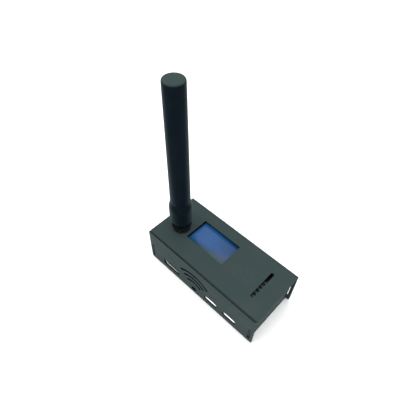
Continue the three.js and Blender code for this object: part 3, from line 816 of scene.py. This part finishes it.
def add_joined(name: str, grids: Sequence[Array], finish: Finish, body: Body,
               nodes: Iterable[str] = ()) -> bpy.types.Object:
    """Joins several rounded blocks of the same grid shape into one piece."""
    work = bmesh.new()
    for grid in grids:
        part = filled_mesh(name + "_part", grid)
        work.from_mesh(part)
        bpy.data.meshes.remove(part)
    mesh = bpy.data.meshes.new(name)
    work.to_mesh(mesh)
    work.free()
    mesh.set_sharp_from_angle(angle=math.radians(40))
    return add_piece(name, mesh, finish, body, nodes)


@dataclass
class PinRow:
    """Header or socket strip, from its CAD node."""

    node: str
    name: str

    def build(self) -> None:
        """Builds the strip from its CAD node."""
        soften(self.node, self.name, PLASTIC, Body.CASE, 0.06 * MM, 1)


@dataclass
class ComputerBoard:
    """Lower board with its chips, sockets, card and camera connector."""

    chip_radius: float = 0.15 * MM
    sockets: list[PortSocket] = field(default_factory=lambda: [
        PortSocket("video_shell", "video_socket_shell", 1.2 * MM, flare=0.05 * MM, bed_start=0.3 * MM,
                   finish=SHADED_NICKEL),
        PortSocket("data_shell", "data_socket_shell", 0.6 * MM),
        PortSocket("power_shell", "power_socket_shell", 0.6 * MM),
    ])

    def build(self) -> None:
        """Builds the board and everything on it."""
        soften("main_board", "computer_board", GREEN_BOARD, Body.CASE, 0.08 * MM)
        low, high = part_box("processor_chip")
        add_piece("processor", block_mesh("processor", low, high, self.chip_radius), CHIP, Body.CASE,
                  ["processor_chip"])
        low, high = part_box("wireless_can")
        add_piece("wireless_shield", block_mesh("wireless_shield", low, high, 0.3 * MM), TINNED, Body.CASE,
                  ["wireless_can"])
        for socket in self.sockets:
            socket.build()
        soften("card_socket", "card_holder", TINNED, Body.CASE, 0.1 * MM)
        soften("memory_card", "card", PLASTIC, Body.CARD, 0.12 * MM)
        soften("camera_connector", "ribbon_connector", IVORY, Body.CASE, 0.1 * MM)
        soften("camera_latch", "ribbon_latch", PLASTIC, Body.LATCH, 0.12 * MM)
        PinRow("pin_header", "header_strip").build()
        self._passives()

    def _passives(self) -> None:
        """Rows of small ceramic parts round the processor."""
        low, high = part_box("processor_chip")
        y_near, y_far = low.y - 1.3 * MM, high.y + 0.7 * MM
        size = np.array([1.0, 0.5, 0.5]) * MM
        starts = [(low.x + 1.6 * MM * i, y) for y in (y_near, y_far) for i in range(7)]
        grids = [block((x, y, low.z), (x + size[0], y + size[1], low.z + size[2]), 0.06 * MM, 1)
                 for x, y in starts]
        add_joined("processor_capacitors", grids, CERAMIC, Body.CASE)


@dataclass
class RadioBoard:
    """Upper board with its radio parts and status lights."""

    lights: int = 5

    def build(self) -> None:
        """Builds the board, the header socket, the chips and the lights."""
        soften("radio_board", "radio_board_plate", BLACK_BOARD, Body.CASE, 0.08 * MM)
        PinRow("header_socket", "header_receptacle").build()
        for node, name, finish, slot in (
                ("transceiver_can", "transceiver_shield", TINNED, "can_metal"),
                ("microcontroller", "controller_chip", CHIP, "chip"),
                ("oscillator", "crystal_can", TINNED, "can_metal")):
            low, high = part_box(node)
            add_piece(name, block_mesh(name, low, high, 0.2 * MM), finish, Body.CASE, [node])
        self._legs()
        for i in range(1, self.lights + 1):
            self._light(i)

    def _legs(self) -> None:
        """Tinned legs on the four sides of the controller."""
        low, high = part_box("microcontroller")
        count, width, reach = 12, 0.22 * MM, 0.8 * MM
        middle = (low + high) / 2
        steps = (np.arange(count) - (count - 1) / 2) * 0.5 * MM
        tall = low.z + 0.35 * MM
        grids = []
        for s in steps:
            for side in (-1, 1):
                edge_y = high.y if side > 0 else low.y - reach
                edge_x = high.x if side > 0 else low.x - reach
                grids.append(block((middle.x + s - width / 2, edge_y, low.z),
                                   (middle.x + s + width / 2, edge_y + reach, tall), 0.05 * MM, 1))
                grids.append(block((edge_x, middle.y + s - width / 2, low.z),
                                   (edge_x + reach, middle.y + s + width / 2, tall), 0.05 * MM, 1))
        add_joined("controller_legs", grids, TINNED, Body.CASE)

    def _light(self, i: int) -> None:
        """One status light: a ceramic base between two metal ends, with a domed lens."""
        low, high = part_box(f"status_led_{i}")
        end = 0.45 * MM
        base_top = low.z + 0.5 * MM
        base = block((low.x + end, low.y, low.z), (high.x - end, high.y, base_top), 0.06 * MM)
        add_piece(f"light_base_{i}", filled_mesh(f"light_base_{i}", base), LED_BODY, Body.CASE,
                  [f"status_led_{i}"])
        ends = [block((low.x, low.y, low.z), (low.x + end, high.y, base_top), 0.06 * MM),
                block((high.x - end, low.y, low.z), (high.x, high.y, base_top), 0.06 * MM)]
        add_joined(f"light_ends_{i}", ends, TINNED, Body.CASE)
        lens = block((low.x + end + 0.1 * MM, low.y + 0.1 * MM, base_top),
                     (high.x - end - 0.1 * MM, high.y - 0.1 * MM, high.z), 0.28 * MM, 4)
        add_piece(f"light_lens_{i}", filled_mesh(f"light_lens_{i}", lens), LED_RESIN, Body.CASE)


@dataclass
class DisplayUnit:
    """Display board, its pins and the glass with the lit panel."""

    glass_radius: float = 0.2 * MM

    def build(self) -> None:
        """Builds the display."""
        soften("display_board", "display_carrier", BLACK_BOARD, Body.CASE, 0.08 * MM)
        soften("display_pins", "display_pin_strip", PLASTIC, Body.CASE, 0.06 * MM, 1)
        low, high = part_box("display_glass")
        glass = block_mesh("display_screen", low, high, self.glass_radius)
        add_piece("display_screen", glass, PANEL, Body.CASE, ["display_glass"])


@dataclass
class Antenna:
    """Stub antenna: threaded jack, washer, nut, ribbed coupling nut, sleeve, whip and what is inside."""

    thread_pitch: float = 0.706 * MM
    thread_depth: float = 0.24 * MM
    ribs: int = 36
    rib_depth: float = 0.16 * MM
    neck_radius: float = 4.4 * MM
    whip_step: float = 45.5 * MM
    tip_radius: float = 4.7 * MM
    tip_round: float = 1.15 * MM
    bore: float = 2.6 * MM
    bore_top: float = 102.0 * MM
    sleeve_waist: float = 42.2 * MM
    sleeve_top_radius: float = 5.2 * MM
    sleeve_bore: float = 4.5 * MM

    def build(self) -> None:
        """Builds the antenna from the jack upwards."""
        self.centre = centre_of("whip_cover")
        self._jack()
        self._hardware()
        self._coupling()
        self._sleeve()
        self._whip()
        self._inside()

    def _add(self, name: str, profile: Array, finish: Finish, body: Body, nodes: Iterable[str],
             columns: int = 96, swell: Callable[[Array, Array, Array], Array] | None = None) -> None:
        """Adds one turned piece whose profile closes on itself."""
        grid = turned(profile, self.centre, columns, swell)
        add_piece(name, filled_mesh(name, grid, wrap_rows=True), finish, body, nodes)

    def _jack(self) -> None:
        """Jack: a barrel with a helical thread, standing on a square foot."""
        low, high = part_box("antenna_jack")
        radius, foot_top = 3.1 * MM, low.z + 1.6 * MM
        heights = np.linspace(foot_top - 0.2 * MM, high.z - 0.3 * MM, 240)
        outside = np.stack([np.full(240, radius), heights], axis=1)
        rim = rounded([(radius, high.z - 0.3 * MM), (radius - 0.3 * MM, high.z), (2.2 * MM, high.z),
                       (2.2 * MM, foot_top + 1.0 * MM)], 0.1 * MM, 3)[3:]
        floor = np.array([(0.0, foot_top + 1.0 * MM), (0.0, foot_top - 0.2 * MM)])

        def thread(r: Array, z: Array, t: Array) -> Array:
            """Radius less the depth of a triangle wave in (height / pitch - turns)."""
            phase = (z / self.thread_pitch - t / (2 * np.pi)) % 1.0
            outer = (r > radius - 1e-6) & (z > foot_top + 1.2 * MM) & (z < high.z - 0.4 * MM)
            return r - np.where(outer, self.thread_depth * (1 - np.abs(2 * phase - 1)), 0.0)

        self._add("jack_barrel", np.concatenate([outside, rim, floor]), GILT, Body.CASE,
                  ["antenna_jack"], 64, thread)
        foot = block((low.x, low.y, low.z), (high.x, high.y, foot_top), 0.2 * MM)
        add_piece("jack_foot", filled_mesh("jack_foot", foot), GILT, Body.CASE)
        soften("jack_insulator", "jack_dielectric", FLUOROPOLYMER, Body.CASE, 0.1 * MM)

    def _hardware(self) -> None:
        """Washer and hexagon nut on the top plate."""
        low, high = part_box("jack_washer")
        outer = (high.x - low.x) / 2
        corners = [(3.2 * MM, low.z), (outer, low.z), (outer, high.z), (3.2 * MM, high.z)]
        ring = rounded(corners, 0.15 * MM, 3, True)

        def teeth(r: Array, z: Array, t: Array) -> Array:
            """Shallow teeth round the rim: a squared cosine of 9 t."""
            return r - np.where(r > outer - 0.3 * MM, 0.04 * MM * np.cos(9 * t) ** 2, 0.0)

        self._add("panel_washer", ring, NUT_BLACK, Body.CASE, ["jack_washer"], 144, teeth)
        soften("jack_nut", "panel_nut", NUT_BLACK, Body.CASE, 0.22 * MM, 3)

    def _coupling(self) -> None:
        """Coupling nut with upright ribs on its grip."""
        low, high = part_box("coupling_nut")
        outer = (high.x - low.x) / 2
        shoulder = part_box("base_sleeve")[0].z - 0.2 * MM
        corners = [(3.2 * MM, low.z), (outer - 0.1 * MM, low.z), (outer, low.z + 0.5 * MM),
                   (outer, shoulder - 0.4 * MM), (outer - 0.1 * MM, shoulder), (self.neck_radius, shoulder),
                   (self.neck_radius, high.z), (3.2 * MM, high.z)]
        ring = rounded(corners, 0.18 * MM, 3, True)

        def ribbed(r: Array, z: Array, t: Array) -> Array:
            """Upright grooves: a squared cosine of half the rib count times t, fading at both rims."""
            inside = (z > low.z + 0.5 * MM) & (z < shoulder - 0.4 * MM) & (r > self.neck_radius + 0.1 * MM)
            return r - np.where(inside, self.rib_depth * np.cos(self.ribs * t / 2) ** 2, 0.0)

        body = np.linspace(low.z + 0.6 * MM, shoulder - 0.5 * MM, 6)
        split = int(np.argmax(ring[:, 1] > low.z + 0.55 * MM))
        grip = np.stack([np.full(6, outer), body], axis=1)
        profile = np.concatenate([ring[:split], grip, ring[split:]])
        self._add("coupling_grip", profile, NUT_BLACK, Body.ANTENNA, ["coupling_nut"], 288,
                  ribbed)

    def _sleeve(self) -> None:
        """Sleeve with a rounded foot and a soft tapered shoulder."""
        low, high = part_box("base_sleeve")
        outer = (high.x - low.x) / 2
        corners = [(self.sleeve_bore, low.z), (outer, low.z), (outer, low.z + 3 * MM)]
        foot = rounded(corners, 0.35 * MM, 5)[6:-6]
        shoulder = rounded([(outer, low.z + 3 * MM), (outer, self.sleeve_waist),
                            (self.sleeve_top_radius, high.z)], 2.2 * MM, 12)
        lip = [(self.sleeve_bore, high.z), (self.sleeve_bore, low.z)]
        ring = np.concatenate([foot, shoulder, np.array(lip)])
        self._add("grip_sleeve", ring, RUBBER, Body.ANTENNA, ["base_sleeve"])

    def _whip(self) -> None:
        """Whip: a tapered rod with a rounded flat tip, hollow inside."""
        low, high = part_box("whip_cover")
        outer = (high.x - low.x) / 2
        tip = rounded([(outer, self.whip_step), (self.tip_radius, high.z), (0.0, high.z)], self.tip_round, 10)
        foot = [(self.bore, low.z), (self.neck_radius, low.z), (self.neck_radius, self.whip_step)]
        inner = [(0.0, self.bore_top), (self.bore, self.bore_top)]
        profile = np.concatenate([np.array(foot), tip, np.array(inner)])
        self._add("whip", profile, RUBBER, Body.ANTENNA, ["whip_cover"])

    def _inside(self) -> None:
        """Coil on its core, the plug's insulator and its centre pin."""
        low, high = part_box("antenna_coil")
        wire = 0.35 * MM
        grid = helix_tube(self.centre, 2.0 * MM, wire, low.z + wire, high.z - wire, 10)
        add_piece("loading_coil", filled_mesh("loading_coil", grid), BRASS, Body.ANTENNA,
                  ["antenna_coil"])
        soften("coil_core", "coil_former", FLUOROPOLYMER, Body.ANTENNA, 0.2 * MM)
        soften("plug_insulator", "plug_dielectric", FLUOROPOLYMER, Body.CONTACT, 0.1 * MM)
        soften("centre_pin", "plug_pin", GILT, Body.CONTACT, 0.05 * MM)


# ---------------------------------------------------------------- studio


@dataclass
class Studio:
    """White floor, soft lights and the camera."""

    eye: tuple[float, float, float] = (62.065 * MM, -79.413 * MM, 180.871 * MM)
    forward: tuple[float, float, float] = (-0.4282, 0.4738, -0.7695)
    right: tuple[float, float, float] = (0.7239, 0.6896, 0.0217)
    lens: float = 31.45

    def build(self) -> None:
        """Builds the floor, the world, the lights and the camera."""
        self._floor()
        self._world(1.3)
        self._light("overhead", (-0.1, -0.1, 0.8), 0.8, 4.2)
        self._camera()

    def _floor(self) -> None:
        """Wide white floor with a faint grain."""
        size = 3.0
        corners = np.array([[-size, -size, 0.0], [size, -size, 0.0], [size, size, 0.0], [-size, size, 0.0]])
        mesh = bpy.data.meshes.new("floor")
        mesh.from_pydata(corners.tolist(), [], [(0, 1, 2, 3)])
        graph = Graph("floor_white")
        tone = graph.mix(graph.noise(4.0), (0.93, 0.93, 0.93), (0.95, 0.95, 0.95))
        graph.plug(graph.shader.inputs["Base Color"], tone)
        graph.shader.inputs["Roughness"].default_value = 0.9
        graph.shader.inputs["Specular IOR Level"].default_value = 0.1
        mesh.materials.append(graph.material)
        floor = bpy.data.objects.new("floor", mesh)
        bpy.context.scene.collection.objects.link(floor)

    def _world(self, strength: float) -> None:
        """Even white surroundings."""
        world = bpy.data.worlds.new("surroundings")
        world.use_nodes = True
        back = world.node_tree.nodes["Background"]
        back.inputs["Color"].default_value = (1.0, 1.0, 1.0, 1.0)
        back.inputs["Strength"].default_value = strength
        bpy.context.scene.world = world

    def _light(self, name: str, place: tuple[float, float, float], size: float, power: float) -> None:
        """One square area light that faces the case."""
        data = bpy.data.lights.new(name, "AREA")
        data.size = size
        data.energy = power
        lamp = bpy.data.objects.new(name, data)
        lamp.location = place
        lamp.rotation_mode = "QUATERNION"
        lamp.rotation_quaternion = (Vector((0, 0, 0.02)) - Vector(place)).to_track_quat("-Z", "Y")
        bpy.context.scene.collection.objects.link(lamp)

    def _camera(self) -> None:
        """Camera above the near right corner, looking down along the case."""
        data = bpy.data.cameras.new("camera")
        data.lens = self.lens
        data.clip_start = 0.005
        camera = bpy.data.objects.new("camera", data)
        camera.location = self.eye
        back, right = -Vector(self.forward).normalized(), Vector(self.right)
        right = (right - right.dot(back) * back).normalized()
        camera.rotation_mode = "QUATERNION"
        camera.rotation_quaternion = Matrix((right, back.cross(right), back)).transposed().to_quaternion()
        bpy.context.scene.collection.objects.link(camera)
        bpy.context.scene.camera = camera


def main() -> None:
    """Builds every sub-assembly in order."""
    logging.basicConfig(level=logging.INFO, format="%(message)s")
    bpy.context.scene.view_settings.view_transform = "Standard"
    parts = (Studio(), SheetCase(), StackHardware(), ComputerBoard(), RadioBoard(), DisplayUnit(), Antenna())
    for part in parts:
        part.build()
        LOG.info("built %s", type(part).__name__)


if __name__ == "__main__":
    main()
